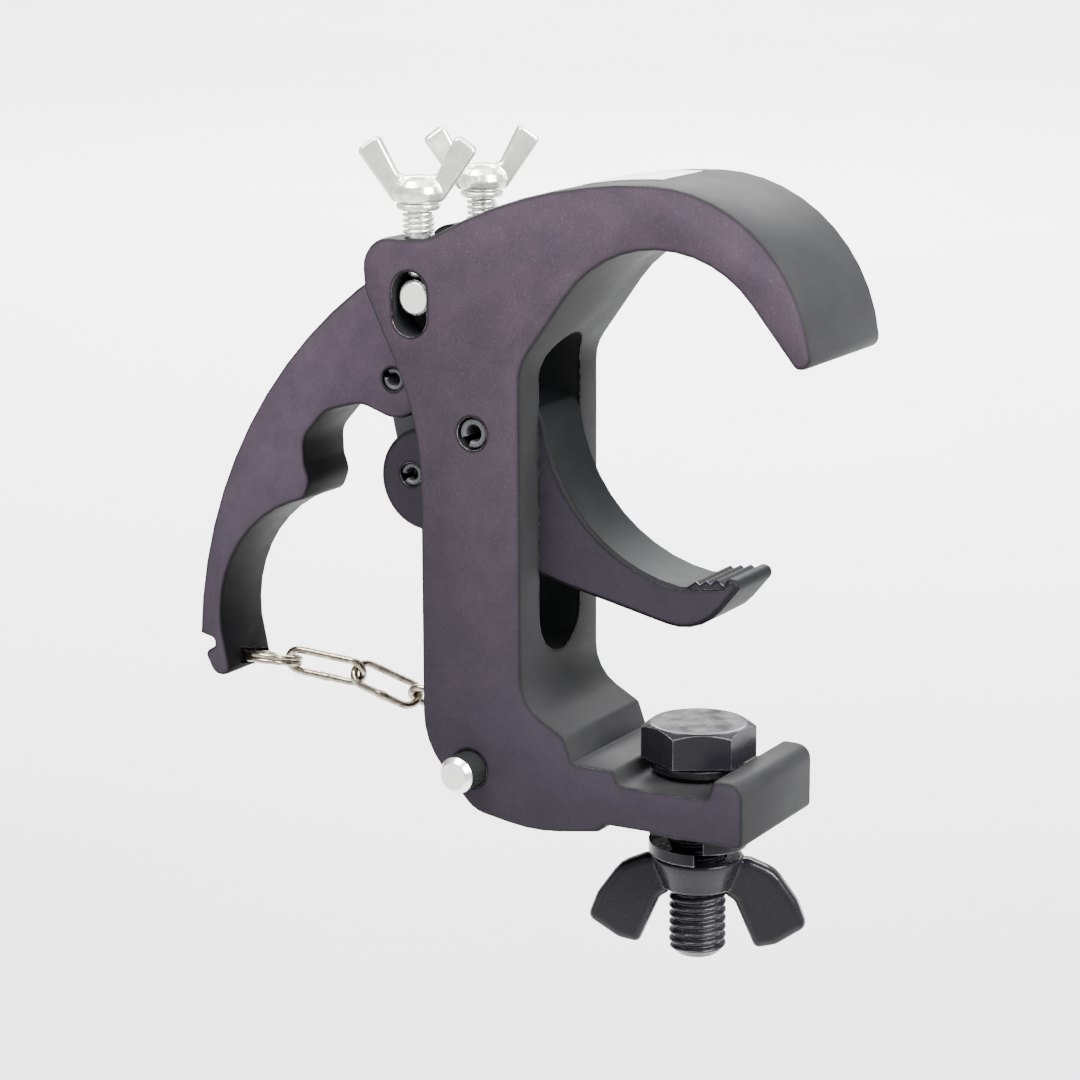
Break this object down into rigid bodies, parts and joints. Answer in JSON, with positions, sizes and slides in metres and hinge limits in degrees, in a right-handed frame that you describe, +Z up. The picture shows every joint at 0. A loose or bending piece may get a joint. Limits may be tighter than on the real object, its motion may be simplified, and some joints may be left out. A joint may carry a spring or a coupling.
{
  "type": "hook clamp",
  "caption": "Quick-rig hook clamp for a round tube: a hook body, a lever that closes a swinging jaw through a toggle link, wing screws for grip, and a bolt with a wing nut for a yoke.",
  "frame": {"origin": "on the axis of the clamped tube, midway through the clamp's thickness", "axes": "+Y along the clamped tube; +X from the lever towards the hook's tip; +Z up, from the yoke bolt towards the hook"},
  "size_m": [0.1236, 0.0395, 0.1385],
  "materials": {
    "dark_coat": "dark violet-grey anodised, fine satin sparkle, edges worn bright",
    "jaw_coat": "darker grey anodised, satin",
    "zinc": "bright zinc plated, glossy",
    "nickel": "warm nickel plated wire, glossy",
    "black_oxide": "glossy black oxide",
    "pin_steel": "dark rolled spring steel",
    "label": "pale matt film, blank"
  },
  "bodies": {
    "clamp_body": {"body": "dark_coat", "jaw_pivot_pin": "pin_steel", "hex_bolt": "black_oxide", "head_washer": "black_oxide", "lug_washer": "black_oxide", "blank_label": "label", "adjuster_spring_front": "zinc", "adjuster_spring_rear": "zinc"},
    "trunnion": {"trunnion_pin": "zinc"},
    "lever": {"handle": "dark_coat", "handle_link_pin": "pin_steel"},
    "toggle": {"toggle_link": "pin_steel"},
    "lower_jaw": {"jaw": "jaw_coat", "link_jaw_pin": "pin_steel"},
    "adjuster_front": {"adjuster_washer_front": "zinc"},
    "adjuster_rear": {"adjuster_washer_rear": "zinc"},
    "screw_front": {"wing_screw_front": "zinc"},
    "screw_rear": {"wing_screw_rear": "zinc"},
    "spring_washer": {"lock_washer": "black_oxide"},
    "nut": {"wing_nut": "black_oxide"},
    "pin": {"lock_pin": "zinc"},
    "pin_loop": {"pin_ring": "nickel"},
    "tether_ring": {"split_ring": "nickel"},
    "link_1": {"chain_link_1": "nickel"},
    "link_2": {"chain_link_2": "nickel"},
    "link_3": {"chain_link_3": "nickel"}
  },
  "joints": [
    {"name": "wing_screw_spin_front", "type": "hinge", "parent": "adjuster_front", "child": "screw_front", "pos_m": [-0.0469, -0.01065, 0.032], "axis": [0, 0, 1], "range_deg": [-515, 515]},
    {"name": "wing_screw_spin_rear", "type": "hinge", "parent": "adjuster_rear", "child": "screw_rear", "pos_m": [-0.0469, 0.01065, 0.032], "axis": [0, 0, 1], "range_deg": [-515, 515]},
    {"name": "adjuster_slide_front", "type": "slide", "parent": "clamp_body", "child": "adjuster_front", "axis": [0, 0, 1], "range_m": [-0.001, 0.001], "deforming": ["adjuster_spring_front"]},
    {"name": "adjuster_slide_rear", "type": "slide", "parent": "clamp_body", "child": "adjuster_rear", "axis": [0, 0, 1], "range_m": [-0.001, 0.001], "deforming": ["adjuster_spring_rear"]},
    {"name": "trunnion_slide", "type": "slide", "parent": "clamp_body", "child": "trunnion", "axis": [0, 0, 1], "range_m": [-0.001, 0.001]},
    {"name": "handle_swing", "type": "hinge", "parent": "trunnion", "child": "lever", "pos_m": [-0.0467, 0, 0.0163], "axis": [0, -1, 0], "range_deg": [-8, 20]},
    {"name": "link_swing", "type": "hinge", "parent": "lever", "child": "toggle", "pos_m": [-0.0548, 0, 0.0008], "axis": [0, -1, 0], "range_deg": [-34.1, 13.7]},
    {"name": "jaw_swing", "type": "hinge", "parent": "clamp_body", "child": "lower_jaw", "pos_m": [-0.0349, 0, -0.0057], "axis": [0, -1, 0], "range_deg": [-3.4, 8.5]},
    {"name": "split_ring_swing", "type": "hinge", "parent": "lever", "child": "tether_ring", "pos_m": [-0.09083, 0.0016, -0.0546], "axis": [0, -0.9724, 0.2334], "range_deg": [-6, 6]},
    {"name": "chain_swing_1", "type": "hinge", "parent": "tether_ring", "child": "link_1", "pos_m": [-0.08198, 0.0037, -0.0551], "axis": [0.4226, -0.8813, 0.2116], "range_deg": [-60.1, 24.1]},
    {"name": "chain_swing_2", "type": "hinge", "parent": "link_1", "child": "link_2", "pos_m": [-0.0715, 0.0073, -0.0565], "axis": [0, -1, 0], "range_deg": [-8, 8]},
    {"name": "chain_swing_3", "type": "hinge", "parent": "link_2", "child": "link_3", "pos_m": [-0.0618, 0.01165, -0.0611], "axis": [0, -1, 0], "range_deg": [-8, 8]},
    {"name": "lock_pin_slide", "type": "slide", "parent": "clamp_body", "child": "pin", "axis": [0, 1, 0], "range_m": [0, 0.04]},
    {"name": "pin_ring_swing", "type": "hinge", "parent": "pin", "child": "pin_loop", "pos_m": [-0.037, 0.0174, -0.0643], "axis": [0, 0, 1], "range_deg": [-60, 0]},
    {"name": "wing_nut_spin", "type": "hinge", "parent": "spring_washer", "child": "nut", "pos_m": [0.001, 0, -0.08], "axis": [0, 0, 1], "range_deg": [-1440, 0]},
    {"name": "lock_washer_slide", "type": "slide", "parent": "clamp_body", "child": "spring_washer", "axis": [0, 0, 1], "range_m": [-0.006, 0]}
  ],
  "couplings": [
    {"joint": "adjuster_slide_front", "follows": "trunnion_slide", "ratio": 1},
    {"joint": "adjuster_slide_rear", "follows": "trunnion_slide", "ratio": 1},
    {"joint": "wing_screw_spin_front", "follows": "trunnion_slide", "rad_per_m": 8976},
    {"joint": "wing_screw_spin_rear", "follows": "trunnion_slide", "rad_per_m": 8976},
    {"joint": "jaw_swing", "follows": "handle_swing", "ratio": 0.42},
    {"joint": "link_swing", "follows": "handle_swing", "ratio": -1.7},
    {"joint": "chain_swing_1", "follows": "handle_swing", "ratio": -3},
    {"joint": "lock_washer_slide", "follows": "wing_nut_spin", "m_per_rad": 0.00023873}
  ]
}
